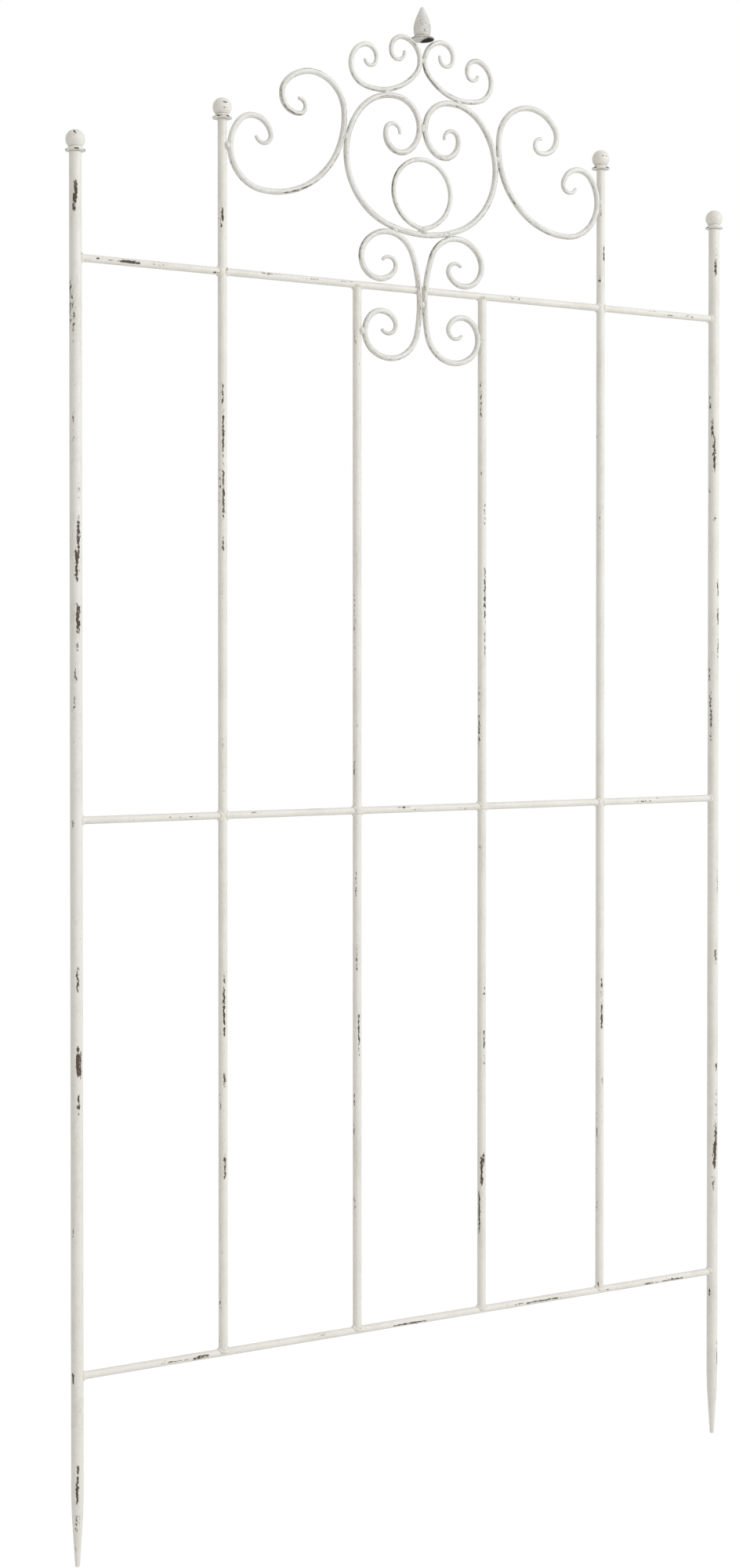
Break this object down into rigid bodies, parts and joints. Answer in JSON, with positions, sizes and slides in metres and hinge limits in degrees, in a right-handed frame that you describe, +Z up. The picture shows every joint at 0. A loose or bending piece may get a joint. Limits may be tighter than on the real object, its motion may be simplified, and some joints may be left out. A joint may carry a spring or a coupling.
{
  "type": "garden trellis",
  "caption": "Tall welded iron trellis panel on two spiked posts, with a lattice of tubes and rails, scrollwork above it, ball caps and a bud finial.",
  "frame": {"origin": "where the soil line crosses the middle of the panel, on the plane of the posts' axes", "axes": "+X along the panel to its right end, +Y from its front to its back, +Z up"},
  "size_m": [1.041, 0.0335, 2.0286],
  "materials": {
    "frame_paint": "chalky white paint over brown iron, worn and chipped",
    "scroll_paint": "chalky white paint over brown iron, speckled on the bends",
    "cap_paint": "chalky white paint over brown iron, dented",
    "finial_paint": "chalky white paint over brown iron, worn bare at the skirt"
  },
  "bodies": {
    "root": {"left_post": "frame_paint", "right_post": "frame_paint", "left_stile": "frame_paint", "right_stile": "frame_paint", "lower_bar_left": "frame_paint", "lower_bar_right": "frame_paint", "upper_bar_left": "frame_paint", "upper_bar_right": "frame_paint", "bottom_rail": "frame_paint", "middle_rail_left": "frame_paint", "middle_rail_centre": "frame_paint", "middle_rail_right": "frame_paint", "top_rail_left": "frame_paint", "top_rail_inner_left": "frame_paint", "top_rail_inner_right": "frame_paint", "top_rail_right": "frame_paint", "left_post_collar": "cap_paint", "left_post_ball": "cap_paint", "right_post_collar": "cap_paint", "right_post_ball": "cap_paint", "left_stile_collar": "cap_paint", "left_stile_ball": "cap_paint", "right_stile_collar": "cap_paint", "right_stile_ball": "cap_paint", "ring_scroll": "scroll_paint", "inner_ring": "scroll_paint", "crown_scroll_left": "scroll_paint", "crown_scroll_right": "scroll_paint", "side_scroll_left": "scroll_paint", "side_scroll_right": "scroll_paint", "lower_scroll_left": "scroll_paint", "lower_scroll_right": "scroll_paint", "finial": "finial_paint"}
  },
  "joints": []
}
